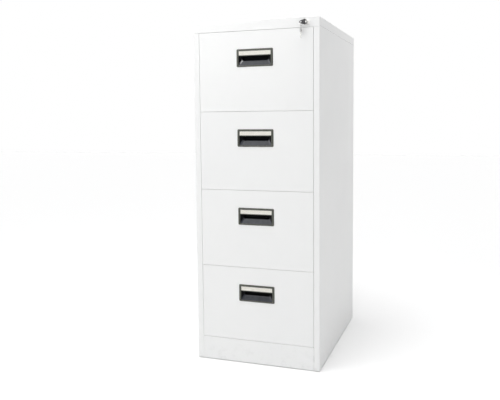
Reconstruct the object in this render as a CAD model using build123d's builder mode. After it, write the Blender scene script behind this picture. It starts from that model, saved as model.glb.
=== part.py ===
from build123d import *
import math
import os

# Four-drawer vertical filing cabinet, in millimetres.
# x runs to the right, y to the back and z up. The origin is on the floor, under the middle of the whole
# object, which reaches from the hanging key in front to the cap's screw heads at the back.

# ---------------------------------------------------------------- driving dimensions
cabinet_w = 500.0
cabinet_d = 700.0
sheet = 1.0  # carcass sheet
thin_sheet = 0.8  # drawer sheet
fold_r = 1.5  # outside radius of a fold
seam = 0.5  # butt joint between carcass panels
slip = 0.2  # gap between panels that slip over each other

drawer_count = 4
front_h = 302.0  # every drawer front but the lowest
bottom_front_h = 290.0
front_gap = 1.0
plinth_top = 92.5
plinth_bottom = 2.0
header_h = 36.5
side_skirt_h = 32.0
panel_foot = 2.0  # side panels stop above the floor

stile_w = 22.5
stile_d = 30.0
stile_lip = 12.0
rear_flange = 15.0
cap_lip = 10.0
doubler_h = 15.0  # side panel's doubled strip below the cap
top_flange = 15.0

front_d = 28.0  # depth of the folded drawer front
front_fold_r = 1.2
front_lip = 18.0
rear_space = 52.0  # behind the closed drawers, to the back of the carcass
tray_side_h = 235.0
tray_lift = 16.0  # tray bottom above its front's lower edge
inner_front_margin = 5.0
hem_h = 8.0
hem_t = 2.4
hanger_spacing = 392.0
hanger_h = 14.0
hanger_t = 2.0

# slides: U sections, one in the other
slide_w = 12.7
slide_h = 45.0
slide_rear_gap = 18.0  # slides stop short of the tray's back
slide_t = 1.2
ball_d = 3.0
web_gap = 1.2
flange_inset = 1.5  # outer and middle flanges stop short of the tray
slide_lift = 105.0  # slide centre above the tray bottom
bumper_l = 8.0
slide_setback = 2.0  # slides start behind the drawer front

upright_setback = 8.0  # first upright behind the slides' front ends
upright_w = 30.0
upright_t = 1.5
rear_upright_inset = 45.0  # rear upright before the slides' rear ends
rail_h = 18.0
rail_d = 20.0
rail_t = 1.2

base_flange = 20.0
plinth_return = 25.0
plinth_foot = 45.0
foot_inset_x = 42.0
foot_inset_y = 65.0
foot_r = 17.0
foot_rim = 2.0
foot_neck_r = 8.0
stem_r = 4.0
stem_l = 30.0
nut_af = 13.0
nut_h = 6.5
thread_gap = 0.1

# recessed pull
pull_w = 145.0
pull_h = 67.0
pull_drop = 67.5  # top of the pull below the top of its front
pull_proud = 2.5
pull_corner_r = 5.5
pull_wall = 1.6
pull_edge_r = 0.8
pocket_w = 128.0
pocket_bottom = 5.5
pocket_h = 35.5
pocket_depth = 22.0
scoop_rise = 17.5
scoop_depth = 9.0  # behind it the pocket's floor is level
hood_depth = 3.0  # plate behind the card
hood_top = 54.0
divider_h = 2.5
label_w = 127.0
label_h = 16.0
label_recess = 1.7
card_t = 0.4
window_t = 0.8
label_gap = 0.3
cutout_gap = 0.3
snap_l = 7.0
snap_h = 12.0
snap_out = 1.5

# lock, keys and lock bar
lock_from_edge = 47.0
lock_drop = 19.0
bezel_r = 10.5
bezel_t = 3.0
barrel_r = 9.5
barrel_l = 28.0
plug_r = 6.0
fit = 0.05
lock_nut_r = 12.5
lock_nut_h = 5.0
cam_r = 8.0
cam_t = 2.0
cam_gap = 0.3
cam_throw = 10.0
cam_rest_angle = -45.0
cam_pin_r = 2.5
cam_pin_l = 4.5
cam_boss = 6.0

key_t = 2.0
key_blade_w = 7.0
key_out = 10.0  # hinge of the key in front of the lock
key_in = 13.0  # blade inside the plug
keyway_gap = 0.2
eye_r = 2.2
hinge_pin_r = 0.75
head_t = 2.6
head_w = 20.0  # next to the hinge
head_corner_r = 4.0
head_tip_r = 5.0
head_start = 1.5
head_l = 26.0
head_lug_h = 3.2
head_lug_gap = 0.3
ring_hole_r = 2.9
ring_r = 6.5
ring_wire_r = 0.6
ring_sag = 0.9  # ring wire off the middle of a hole
hole_from_tip = 6.0
head_relief = 0.8
key_notch = 0.6
key_notch_pitch = 3.5
key_notch_count = 3

bar_w = 14.0
bar_t = 2.0
tab_t = 2.0
bar_inset = 5.0  # bar beyond the stile's inner edge
bar_gap = 3.0
bar_tail = 110.0  # bar below its lowest tab
slot_wall = 6.0
tab_reach = 9.5  # tab past the stile's inner edge, towards the drawer
tab_h = 12.0
catch_drop = 30.0  # catch below the top of the tray side
catch_reach = 9.2
catch_h = 12.0
catch_t = 2.0
catch_foot = 22.0
catch_gap = 2.0
bar_clearance = 2.0
slot_gap = 0.6
guide_t = 1.2
guide_h = 16.0
guide_gap = 0.4
guide_drop = 95.0  # guides below the catches

cap_screw_r = 1.9
cap_screw_head_r = 4.0
cap_screw_head_h = 2.0
cap_screw_l = 6.0
cap_screw_spacing = 120.0
cap_screw_count = 4

# ---------------------------------------------------------------- places worked out from them
front_reach = bezel_t + key_out + head_w / 2  # the hanging key in front of the carcass
overall_d = front_reach + cabinet_d + cap_screw_head_h
front_y = front_reach - overall_d / 2
back_y = front_y + cabinet_d
middle_y = (front_y + back_y) / 2
half_w = cabinet_w / 2
wall_x = half_w - sheet  # inner face of a side panel
opening_w = cabinet_w - 2 * stile_w
opening_x = opening_w / 2
front_w = opening_w - 2 * front_gap

drawer_heights = [bottom_front_h] + [front_h] * (drawer_count - 1)
drawer_bottoms = [plinth_top + front_gap]
for height in drawer_heights[:-1]:
    drawer_bottoms.append(drawer_bottoms[-1] + height + front_gap)
drawer_numbers = list(range(drawer_count, 0, -1))  # drawer 1 is the top one
drawers = list(zip(drawer_numbers, drawer_bottoms, drawer_heights))

header_bottom = drawer_bottoms[-1] + drawer_heights[-1] + front_gap
cabinet_h = header_bottom + header_h
skirt_bottom = cabinet_h - side_skirt_h
cap_under = cabinet_h - sheet
cap_slip_x = wall_x - slip  # outer face of the side panel inside the cap

pan_z = plinth_bottom + sheet  # base pan lies on the plinth's lower flange
tray_front_y = front_y + front_d
tray_back_y = back_y - rear_space
tray_length = tray_back_y - tray_front_y
tray_x = opening_x - slide_w
slide_front_y = tray_front_y + slide_setback
slide_back_y = tray_back_y - slide_rear_gap
slide_length = slide_back_y - slide_front_y
upright_y = [slide_front_y + upright_setback, slide_back_y - rear_upright_inset - upright_w]

lock_x = half_w - lock_from_edge
lock_z = cabinet_h - lock_drop
plug_front_y = front_y - bezel_t
barrel_back_y = front_y + barrel_l
key_hinge_y = plug_front_y - key_out
bar_x = opening_x + bar_inset
bar_y = upright_y[0] - bar_gap - bar_t
cap_screw_z = cabinet_h - side_skirt_h / 2
scoop_slope = scoop_rise / scoop_depth
scoop_wall = pull_wall * math.hypot(1, scoop_slope)  # measured upwards
shell_low = pocket_bottom - scoop_wall  # pocket's underside at the front
shell_shelf = pocket_bottom + scoop_rise - pull_wall  # and at the back

os.makedirs("parts", exist_ok=True)


def save(piece, name):
    piece.part.label = name
    export_step(piece.part, f"parts/{name}.step")


def save_shape(shape, name):
    shape.label = name
    export_step(shape, f"parts/{name}.step")


def bent(points, thickness, radius=fold_r):
    """Section of a folded sheet whose outer face runs along the points, with the sheet on their left."""
    with BuildSketch(mode=Mode.PRIVATE) as section:
        with BuildLine():
            FilletPolyline(*points, radius=radius)
            offset(amount=thickness, side=Side.LEFT)
        make_face()
    return section.sketch


def both_sides(shape):
    """The piece and its mirror image on the other side of the cabinet."""
    return Compound(children=[shape, mirror(shape, about=Plane.YZ)])


def facing_front(y):
    """Upright plane at this depth, looking at the front; extrusion goes towards the front."""
    return Plane.XZ.offset(-y)


# ---------------------------------------------------------------- carcass
def side_panel():
    stile_top = header_bottom - seam
    wall_top = skirt_bottom - seam
    with BuildPart() as panel:
        with BuildSketch(Plane.XY.offset(panel_foot)):
            add(bent([
                (opening_x + stile_lip, front_y + stile_d),
                (opening_x, front_y + stile_d),
                (opening_x, front_y),
                (half_w, front_y),
                (half_w, back_y),
                (half_w - rear_flange, back_y),
            ], sheet))
        extrude(amount=wall_top - panel_foot)
        with BuildSketch(Plane.XY.offset(stile_top)):
            with Locations((wall_x, front_y)):
                Rectangle(stile_w + sheet, 2 * (stile_d + seam), align=(Align.MAX, Align.CENTER))
                Rectangle(2 * stile_w, 2 * (fold_r + seam))
        extrude(amount=wall_top - stile_top, mode=Mode.SUBTRACT)
        with BuildSketch(facing_front(back_y - 2 * sheet - seam)):
            with BuildLine():
                Polyline(
                    (wall_x, wall_top - doubler_h),
                    (wall_x, wall_top),
                    (cap_slip_x, wall_top),
                    (cap_slip_x, cap_under),
                    (cap_slip_x - top_flange, cap_under),
                    (cap_slip_x - top_flange, cap_under - sheet),
                    (cap_slip_x - sheet, cap_under - sheet),
                    (cap_slip_x - sheet, wall_top - doubler_h),
                    close=True,
                )
            make_face()
        extrude(amount=cabinet_d - 2 * (2 * sheet + seam) - fold_r)
    return panel.part


right_side = side_panel()
save_shape(right_side, "right_side_panel")
save_shape(mirror(right_side, about=Plane.YZ), "left_side_panel")

with BuildPart() as back_panel:
    with BuildSketch(Plane.XY.offset(pan_z)):
        with Locations((0, back_y - 1.5 * sheet)):
            Rectangle(cabinet_w - 2 * fold_r, sheet)
    extrude(amount=cap_under - pan_z)
    with BuildSketch(facing_front(back_y)):
        with Locations((0, cap_screw_z)):
            with GridLocations(cap_screw_spacing, 1, cap_screw_count, 1):
                Circle(cap_screw_r + fit)
    extrude(amount=3 * sheet, mode=Mode.SUBTRACT)
save(back_panel, "back_panel")

with BuildPart() as top_cap:
    with BuildSketch(Plane.XY.offset(header_bottom)):
        with Locations((0, middle_y)):
            RectangleRounded(cabinet_w, cabinet_d, fold_r)
    extrude(amount=header_h)
    fillet(top_cap.faces().sort_by(Axis.Z)[-1].edges(), fold_r)
    with BuildSketch(Plane.XY.offset(header_bottom)):
        with Locations((0, middle_y)):
            RectangleRounded(cabinet_w - 2 * sheet, cabinet_d - 2 * sheet, fold_r - sheet)
    extrude(amount=header_h - sheet, mode=Mode.SUBTRACT)
    with BuildSketch(Plane.XY.offset(header_bottom)):
        with Locations((0, front_y + fold_r)):
            Rectangle(cabinet_w + fold_r, cabinet_d, align=(Align.CENTER, Align.MIN))
    extrude(amount=skirt_bottom - header_bottom, mode=Mode.SUBTRACT)
    with BuildSketch(Plane.XY.offset(header_bottom)):
        with Locations((0, front_y + sheet / 2)):
            Rectangle(2 * (cap_slip_x - sheet - seam), cap_lip + sheet / 2, align=(Align.CENTER, Align.MIN))
    extrude(amount=sheet)
    with BuildSketch(facing_front(front_y + 2 * sheet)):
        with Locations((lock_x, lock_z)):
            Circle(barrel_r + fit)
    extrude(amount=3 * sheet, mode=Mode.SUBTRACT)
    with BuildSketch(facing_front(back_y + sheet)):
        with Locations((0, cap_screw_z)):
            with GridLocations(cap_screw_spacing, 1, cap_screw_count, 1):
                Circle(cap_screw_r + fit)
    extrude(amount=3 * sheet, mode=Mode.SUBTRACT)
save(top_cap, "top_cap")

with BuildPart() as cap_screws:
    with BuildSketch(facing_front(back_y)):
        with Locations((0, cap_screw_z)):
            with GridLocations(cap_screw_spacing, 1, cap_screw_count, 1):
                Circle(cap_screw_r)
    extrude(amount=cap_screw_l)
    with BuildSketch(facing_front(back_y + cap_screw_head_h)):
        with Locations((0, cap_screw_z)):
            with GridLocations(cap_screw_spacing, 1, cap_screw_count, 1):
                Circle(cap_screw_head_r)
    extrude(amount=cap_screw_head_h)
    fillet(cap_screws.edges().group_by(Axis.Y)[-1], cap_screw_head_h / 2)
save(cap_screws, "cap_screws")

foot_places = [
    Location((x, y))
    for x in (foot_inset_x - half_w, half_w - foot_inset_x)
    for y in (front_y + foot_inset_y, back_y - foot_inset_y)
]

with BuildPart() as base_pan:
    pan_front = front_y + stile_d + seam
    pan_back = back_y - 2 * sheet
    pan_middle = (pan_front + pan_back) / 2
    with BuildSketch(Plane.XY.offset(pan_z)):
        with Locations((0, pan_middle)):
            Rectangle(2 * wall_x, pan_back - pan_front)
    extrude(amount=base_flange)
    with BuildSketch(Plane.XY.offset(pan_z + sheet)):
        with Locations((0, pan_middle)):
            Rectangle(2 * (wall_x - sheet), pan_back - pan_front - 2 * sheet)
    extrude(amount=base_flange, mode=Mode.SUBTRACT)
    with BuildSketch(Plane.XY.offset(pan_z)):
        with Locations(foot_places):
            Circle(stem_r + thread_gap)
    extrude(amount=sheet, mode=Mode.SUBTRACT)
save(base_pan, "base_pan")

with BuildPart() as front_plinth:
    with BuildSketch(Plane.YZ):
        add(bent([
            (front_y + plinth_return, plinth_top),
            (front_y, plinth_top),
            (front_y, plinth_bottom),
            (front_y + plinth_foot, plinth_bottom),
        ], sheet))
    extrude(amount=opening_x - seam, both=True)
save(front_plinth, "front_plinth")

with BuildPart() as levelling_feet:
    with BuildSketch():
        with Locations(foot_places):
            Circle(foot_r)
    extrude(amount=foot_rim)
    fillet(levelling_feet.edges(), foot_rim / 4)
    with BuildSketch(Plane.XY.offset(foot_rim)):
        with Locations(foot_places):
            Circle(foot_neck_r)
    extrude(amount=pan_z - foot_rim)
    with BuildSketch(Plane.XY.offset(pan_z)):
        with Locations(foot_places):
            Circle(stem_r)
    extrude(amount=stem_l)
save(levelling_feet, "levelling_feet")

with BuildPart() as foot_nuts:
    with BuildSketch(Plane.XY.offset(pan_z + sheet)):
        with Locations(foot_places):
            RegularPolygon(nut_af / 2, 6, major_radius=False)
            Circle(stem_r + thread_gap, mode=Mode.SUBTRACT)
    extrude(amount=nut_h)
save(foot_nuts, "foot_nuts")

with BuildPart() as right_uprights:
    upright_foot = pan_z + base_flange
    for y in upright_y:
        with BuildSketch(Plane.XY.offset(upright_foot)):
            add(bent([
                (wall_x, y + upright_w),
                (opening_x, y + upright_w),
                (opening_x, y),
                (wall_x, y),
            ], upright_t))
        extrude(amount=skirt_bottom - seam - doubler_h - upright_foot)
save(right_uprights, "right_uprights")
save_shape(mirror(right_uprights.part, about=Plane.YZ), "left_uprights")

with BuildPart() as cross_rails:
    for number, bottom, height in drawers[:-1]:
        rail_middle = bottom + height + front_gap / 2
        with BuildSketch(Plane.YZ):
            add(bent([
                (upright_y[0] + rail_d, rail_middle + rail_h / 2),
                (upright_y[0], rail_middle + rail_h / 2),
                (upright_y[0], rail_middle - rail_h / 2),
                (upright_y[0] + rail_d, rail_middle - rail_h / 2),
            ], rail_t))
        extrude(amount=opening_x, both=True)
save(cross_rails, "cross_rails")


# ---------------------------------------------------------------- slides
def slide_section(open_x, web_x, middle_z, half_h):
    """U section with its web's outer face at web_x and its flanges reaching to open_x."""
    turn = 1 if web_x > open_x else -1
    return bent([
        (open_x, middle_z - turn * half_h),
        (web_x, middle_z - turn * half_h),
        (web_x, middle_z + turn * half_h),
        (open_x, middle_z + turn * half_h),
    ], slide_t, slide_t)


def slide_pair(sections, length):
    """Right-hand slide members along the drawer; each section gives one member."""
    with BuildPart() as member:
        with BuildSketch(facing_front(slide_front_y + length)):
            for section in sections:
                add(section)
        extrude(amount=length)
    return member.part


def slide_centre(bottom):
    return bottom + tray_lift + slide_lift


outer_half_h = slide_h / 2
middle_half_h = outer_half_h - slide_t - ball_d
inner_half_h = middle_half_h - slide_t - ball_d
flange_end_x = tray_x + flange_inset
middle_web_x = opening_x - slide_t - web_gap
inner_flange_x = middle_web_x - slide_t - web_gap
moving_length = slide_length - bumper_l

right_outer = slide_pair(
    [slide_section(flange_end_x, opening_x, slide_centre(bottom), outer_half_h) for n, bottom, h in drawers],
    slide_length,
)
save_shape(right_outer, "right_outer_slides")
save_shape(mirror(right_outer, about=Plane.YZ), "left_outer_slides")

with BuildPart() as slide_bumpers:
    for number, bottom, height in drawers:
        with BuildSketch(facing_front(slide_back_y)):
            with Locations((0, slide_centre(bottom))):
                Rectangle(2 * (opening_x - slide_t), 2 * (outer_half_h - slide_t))
                Rectangle(2 * flange_end_x, 2 * outer_half_h, mode=Mode.SUBTRACT)
        extrude(amount=bumper_l)
save(slide_bumpers, "slide_bumpers")


# ---------------------------------------------------------------- drawers
def drawer_pan(bottom, height):
    """Folded front with returns, rear lips and the cut-out for the pull."""
    middle_z = bottom + height / 2
    with BuildPart() as pan:
        with BuildSketch(facing_front(tray_front_y)):
            with Locations((0, middle_z)):
                Rectangle(front_w, height)
        extrude(amount=front_d)
        fillet(pan.faces().sort_by(Axis.Y)[0].edges(), front_fold_r)
        with BuildSketch(facing_front(tray_front_y - thin_sheet)):
            with Locations((0, middle_z)):
                Rectangle(front_w - 2 * thin_sheet, height - 2 * thin_sheet)
        extrude(amount=front_d - 2 * thin_sheet, mode=Mode.SUBTRACT)
        with BuildSketch(facing_front(tray_front_y)):
            with Locations((0, middle_z)):
                Rectangle(front_w - 2 * (thin_sheet + front_lip), height - 2 * (thin_sheet + front_lip))
        extrude(amount=2 * thin_sheet, mode=Mode.SUBTRACT)
        pull_base = bottom + height - pull_drop - pull_h
        cutout_low = pull_base + shell_low - cutout_gap
        cutout_high = pull_base + hood_top + pull_wall + cutout_gap
        with BuildSketch(facing_front(front_y + 2 * thin_sheet)):
            with Locations((0, (cutout_low + cutout_high) / 2)):
                Rectangle(pocket_w + 2 * (pull_wall + cutout_gap), cutout_high - cutout_low)
        extrude(amount=3 * thin_sheet, mode=Mode.SUBTRACT)
    return pan.part


def drawer_tray(bottom, height):
    """Tray of welded sheets with hemmed rims, and the catch for the lock bar riveted to its side."""
    floor_z = bottom + tray_lift
    wall_z = floor_z + thin_sheet
    rim_z = floor_z + tray_side_h
    wall_y = tray_front_y + thin_sheet
    wall_middle = (wall_y + tray_back_y) / 2
    wall_length = tray_back_y - wall_y
    catch_z = rim_z - catch_drop - catch_h
    with BuildPart() as inner_front:
        with BuildSketch(facing_front(wall_y)):
            with Locations((0, bottom + height / 2)):
                Rectangle(2 * tray_x, height - 2 * inner_front_margin)
        extrude(amount=thin_sheet)
    with BuildPart() as floor:
        with BuildSketch(Plane.XY.offset(floor_z)):
            with Locations((0, wall_middle)):
                Rectangle(2 * tray_x, wall_length)
        extrude(amount=thin_sheet)
    with BuildPart() as side:
        with BuildSketch(facing_front(tray_back_y)):
            with Locations((tray_x, rim_z)):
                Rectangle(thin_sheet, rim_z - wall_z, align=(Align.MAX, Align.MAX))
                Rectangle(hem_t, hem_h, align=(Align.MAX, Align.MAX))
        extrude(amount=wall_length)
    with BuildPart() as back:
        with BuildSketch(facing_front(tray_back_y)):
            with Locations((0, rim_z - hem_h)):
                Rectangle(2 * (tray_x - thin_sheet), rim_z - hem_h - wall_z, align=(Align.CENTER, Align.MAX))
        extrude(amount=thin_sheet)
        with BuildSketch(facing_front(tray_back_y)):
            with Locations((0, rim_z)):
                Rectangle(2 * (tray_x - hem_t), hem_h, align=(Align.CENTER, Align.MAX))
        extrude(amount=hem_t)
    with BuildPart() as catch:
        with BuildSketch(Plane.XY.offset(catch_z)):
            with Locations((tray_x, bar_y + catch_gap)):
                Rectangle(catch_reach, catch_t, align=(Align.MIN, Align.MIN))
                Rectangle(catch_t, catch_foot, align=(Align.MIN, Align.MIN))
        extrude(amount=catch_h)
    left_side = mirror(side.part, about=Plane.YZ)
    return Compound(children=[inner_front.part, floor.part, side.part, left_side, back.part, catch.part])


def hanger_rails(bottom):
    rim_z = bottom + tray_lift + tray_side_h
    with BuildPart() as rails:
        with BuildSketch(Plane.XY.offset(rim_z - hanger_h)):
            with Locations((0, (tray_front_y + tray_back_y) / 2)):
                with GridLocations(hanger_spacing, 1, 2, 1):
                    Rectangle(hanger_t, tray_length - 2 * hem_t)
        extrude(amount=hanger_h)
    return rails.part


def pull(base_z):
    """Moulded pull: frame with a card recess, and a finger pocket behind the frame's opening."""
    pocket_z = base_z + pocket_bottom
    label_z = pocket_z + pocket_h + divider_h
    snap_x = pocket_w / 2 + pull_wall
    shell_back = pocket_depth + pull_wall
    with BuildPart() as body:
        with BuildSketch(facing_front(front_y)):
            with Locations((0, base_z + pull_h / 2)):
                RectangleRounded(pull_w, pull_h, pull_corner_r)
        extrude(amount=pull_proud)
        fillet(body.faces().sort_by(Axis.Y)[0].edges(), pull_edge_r)
        with BuildSketch(Plane.YZ):
            with BuildLine():
                Polyline(
                    (front_y, base_z + shell_low),
                    (front_y + (shell_shelf - shell_low) / scoop_slope, base_z + shell_shelf),
                    (front_y + shell_back, base_z + shell_shelf),
                    (front_y + shell_back, base_z + hood_top + pull_wall),
                    (front_y, base_z + hood_top + pull_wall),
                    close=True,
                )
            make_face()
        extrude(amount=snap_x, both=True)
        with BuildSketch(Plane.YZ):
            with BuildLine():
                Polyline(
                    (front_y - 2 * pull_proud, pocket_z),
                    (front_y, pocket_z),
                    (front_y + scoop_depth, pocket_z + scoop_rise),
                    (front_y + pocket_depth, pocket_z + scoop_rise),
                    (front_y + pocket_depth, base_z + hood_top),
                    (front_y + hood_depth, base_z + hood_top),
                    (front_y + hood_depth, pocket_z + pocket_h),
                    (front_y - 2 * pull_proud, pocket_z + pocket_h),
                    close=True,
                )
            make_face()
        extrude(amount=pocket_w / 2, both=True, mode=Mode.SUBTRACT)
        with BuildSketch(facing_front(front_y - pull_proud + label_recess)):
            with Locations((0, label_z + label_h / 2)):
                Rectangle(label_w, label_h)
        extrude(amount=2 * label_recess, mode=Mode.SUBTRACT)
        with BuildSketch(Plane.XY.offset(base_z + pull_h / 2 - snap_h / 2)):
            with BuildLine():
                Polyline(
                    (snap_x, front_y + thin_sheet + cutout_gap),
                    (snap_x + cutout_gap + snap_out, front_y + thin_sheet + cutout_gap),
                    (snap_x, front_y + snap_l),
                    close=True,
                )
            make_face()
            mirror(about=Plane.YZ)
        extrude(amount=snap_h)
    return body.part


def label_sheet(base_z, face_depth, thickness, margin):
    """Flat sheet in the card recess, its front face this deep behind the frame's face."""
    label_z = base_z + pocket_bottom + pocket_h + divider_h
    with BuildPart() as card:
        with BuildSketch(facing_front(front_y - pull_proud + face_depth + thickness)):
            with Locations((0, label_z + label_h / 2)):
                Rectangle(label_w - 2 * margin, label_h - 2 * margin)
        extrude(amount=thickness)
    return card.part


for number, bottom, height in drawers:
    pull_base = bottom + height - pull_drop - pull_h
    save_shape(drawer_pan(bottom, height), f"drawer_front_{number}")
    save_shape(drawer_tray(bottom, height), f"drawer_tray_{number}")
    save_shape(hanger_rails(bottom), f"hanger_rails_{number}")
    save_shape(pull(pull_base), f"pull_{number}")
    card_depth = label_recess - card_t
    save_shape(label_sheet(pull_base, card_depth, card_t, label_gap), f"label_card_{number}")
    save_shape(label_sheet(pull_base, card_depth - window_t, window_t, label_gap), f"label_window_{number}")
    middle_slide = slide_pair(
        [slide_section(flange_end_x, middle_web_x, slide_centre(bottom), middle_half_h)], moving_length
    )
    save_shape(both_sides(middle_slide), f"middle_slides_{number}")
    inner_slide = slide_pair(
        [slide_section(inner_flange_x, tray_x, slide_centre(bottom), inner_half_h)], moving_length
    )
    save_shape(both_sides(inner_slide), f"inner_slides_{number}")


# ---------------------------------------------------------------- lock
with BuildPart() as lock_housing:
    with BuildSketch(facing_front(barrel_back_y)):
        with Locations((lock_x, lock_z)):
            Circle(barrel_r)
    extrude(amount=barrel_l)
    with BuildSketch(facing_front(front_y)):
        with Locations((lock_x, lock_z)):
            Circle(bezel_r)
    extrude(amount=bezel_t)
    fillet(lock_housing.edges().group_by(Axis.Y)[0], bezel_t / 3)
    with BuildSketch(facing_front(barrel_back_y)):
        with Locations((lock_x, lock_z)):
            Circle(plug_r + fit)
    extrude(amount=barrel_l + bezel_t, mode=Mode.SUBTRACT)
save(lock_housing, "lock_housing")

with BuildPart() as lock_nut:
    with BuildSketch(facing_front(front_y + sheet + lock_nut_h)):
        with Locations((lock_x, lock_z)):
            RegularPolygon(lock_nut_r, 6)
            Circle(barrel_r + fit, mode=Mode.SUBTRACT)
    extrude(amount=lock_nut_h)
save(lock_nut, "lock_nut")

with BuildPart() as lock_plug:
    with BuildSketch(facing_front(barrel_back_y + cam_gap)):
        with Locations((lock_x, lock_z)):
            Circle(plug_r)
    extrude(amount=barrel_back_y + cam_gap - plug_front_y)
    with BuildSketch(facing_front(barrel_back_y + cam_gap + cam_t + cam_gap)):
        with Locations((lock_x, lock_z)):
            Rectangle(cam_boss, cam_boss)
    extrude(amount=cam_t + cam_gap)
    with BuildSketch(facing_front(plug_front_y + key_in + 1)):
        with Locations((lock_x, lock_z)):
            Rectangle(key_t + 2 * keyway_gap, key_blade_w + 2 * keyway_gap)
    extrude(amount=key_in + 1, mode=Mode.SUBTRACT)
save(lock_plug, "lock_plug")

cam_pin_x = lock_x + cam_throw * math.cos(math.radians(cam_rest_angle))
cam_pin_z = lock_z + cam_throw * math.sin(math.radians(cam_rest_angle))

with BuildPart() as lock_cam:
    cam_back_y = barrel_back_y + cam_gap + cam_t
    with BuildSketch(facing_front(cam_back_y)):
        with Locations((lock_x, lock_z)):
            Circle(cam_r)
        with Locations((cam_pin_x, cam_pin_z)):
            Circle(cam_pin_r + cam_t)
        make_hull()
        with Locations((lock_x, lock_z)):
            Rectangle(cam_boss + 2 * fit, cam_boss + 2 * fit, mode=Mode.SUBTRACT)
    extrude(amount=cam_t)
    with BuildSketch(facing_front(cam_back_y + cam_pin_l)):
        with Locations((cam_pin_x, cam_pin_z)):
            Circle(cam_pin_r)
    extrude(amount=cam_pin_l)
save(lock_cam, "lock_cam")


# ---------------------------------------------------------------- keys
def pin_plane(plane, start):
    """Plane across a key's hinge pin, this far along it; extrusion runs along the pin."""
    return Plane(origin=plane.origin + plane.y_dir * start, x_dir=plane.x_dir, z_dir=plane.y_dir)


def key_blade(plane):
    """Blade along the plane's -x, with the hinge eye's axis along its y."""
    blade_l = key_out + key_in
    with BuildPart() as blade:
        with BuildSketch(plane.offset(-key_t / 2)):
            Rectangle(blade_l, key_blade_w, align=(Align.MAX, Align.CENTER))
            chamfer(vertices().group_by(Axis.X)[0], key_blade_w / 4)
            for step in range(key_notch_count):
                with Locations((key_notch_pitch * (step + 1) - blade_l, -key_blade_w / 2)):
                    Rectangle(2 * key_notch, 2 * key_notch, rotation=45, mode=Mode.SUBTRACT)
        extrude(amount=key_t)
        eye_plane = pin_plane(plane, -key_blade_w / 2)
        with BuildSketch(eye_plane):
            Circle(eye_r)
        extrude(amount=key_blade_w)
        with BuildSketch(eye_plane):
            Circle(hinge_pin_r + fit)
        extrude(amount=key_blade_w, mode=Mode.SUBTRACT)
    return blade.part


def key_head(plane):
    """Head along the plane's +x: tapered plate with the ring hole, and two lugs beside the blade's eye."""
    lug_start = key_blade_w / 2 + head_lug_gap
    with BuildPart() as head:
        with BuildSketch(plane.offset(-head_t / 2)):
            with Locations((head_start + head_corner_r, 0)):
                with GridLocations(1, head_w - 2 * head_corner_r, 1, 2):
                    Circle(head_corner_r)
            with Locations((head_l - head_tip_r, 0)):
                Circle(head_tip_r)
            make_hull()
            with Locations((0, 0)):
                Rectangle(2 * (eye_r + head_relief), 2 * lug_start, mode=Mode.SUBTRACT)
            with GridLocations(1, 2 * lug_start + head_lug_h, 1, 2):
                Rectangle(head_start + head_corner_r, head_lug_h, align=(Align.MIN, Align.CENTER))
            with Locations((head_l - hole_from_tip, 0)):
                Circle(ring_hole_r, mode=Mode.SUBTRACT)
        extrude(amount=head_t)
        for side in (-1, 1):
            low = lug_start if side > 0 else -lug_start - head_lug_h
            lug_plane = pin_plane(plane, low)
            with BuildSketch(lug_plane):
                Circle(eye_r)
            extrude(amount=head_lug_h)
            with BuildSketch(lug_plane):
                Circle(hinge_pin_r + fit)
            extrude(amount=head_lug_h, mode=Mode.SUBTRACT)
    return head.part


def key_pin(plane):
    half_l = key_blade_w / 2 + head_lug_gap + head_lug_h
    with BuildPart() as pin:
        with BuildSketch(pin_plane(plane, -half_l)):
            Circle(hinge_pin_r)
        extrude(amount=2 * half_l)
    return pin.part


key_origin = Vector(lock_x, key_hinge_y, lock_z)
blade_plane = Plane(origin=key_origin, x_dir=(0, -1, 0), z_dir=(-1, 0, 0))
folded_plane = Plane(origin=key_origin, x_dir=(-1, 0, 0), z_dir=(0, 1, 0))
hole_x = lock_x - head_l + hole_from_tip
ring_centre_z = lock_z - ring_sag - ring_r
spare_hole_z = ring_centre_z - ring_r - ring_sag
spare_plane = Plane(
    origin=(hole_x, key_hinge_y, spare_hole_z - head_l + hole_from_tip), x_dir=(0, 0, 1), z_dir=(-1, 0, 0)
)
save_shape(key_blade(blade_plane), "key_blade")
save_shape(key_head(folded_plane), "key_head")
save_shape(key_pin(folded_plane), "key_hinge_pin")
save_shape(key_blade(spare_plane), "spare_key_blade")
spare_head = key_head(spare_plane)
spare_pin = key_pin(spare_plane)
save_shape(Compound(children=[spare_head, spare_pin]), "spare_key_head")

with BuildPart() as key_ring:
    ring_plane = Plane(origin=(hole_x, key_hinge_y, ring_centre_z), x_dir=(1, 1, 0), z_dir=(1, -1, 0))
    with BuildSketch(Plane(origin=ring_plane.origin, x_dir=ring_plane.x_dir, z_dir=ring_plane.y_dir)):
        with Locations((ring_r, 0)):
            Circle(ring_wire_r)
    revolve(axis=Axis(ring_plane.origin, ring_plane.z_dir))
save(key_ring, "key_ring")


# ---------------------------------------------------------------- lock bar
def catch_bottom(bottom):
    return bottom + tray_lift + tray_side_h - catch_drop - catch_h


slot_low = cam_pin_z - cam_pin_r - slot_gap
slot_high = cam_pin_z + cam_pin_r + slot_gap
slot_left = cam_pin_x - cam_pin_r - slot_gap
slot_right = lock_x + cam_throw + cam_pin_r + slot_gap
bar_foot = catch_bottom(drawers[0][1]) - bar_clearance - tab_h - bar_tail

with BuildPart() as bar_strip:
    with BuildSketch(facing_front(bar_y + bar_t)):
        with Locations((bar_x, bar_foot)):
            Rectangle(bar_w, slot_high + slot_wall - bar_foot, align=(Align.MIN, Align.MIN))
    extrude(amount=bar_t)

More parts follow.
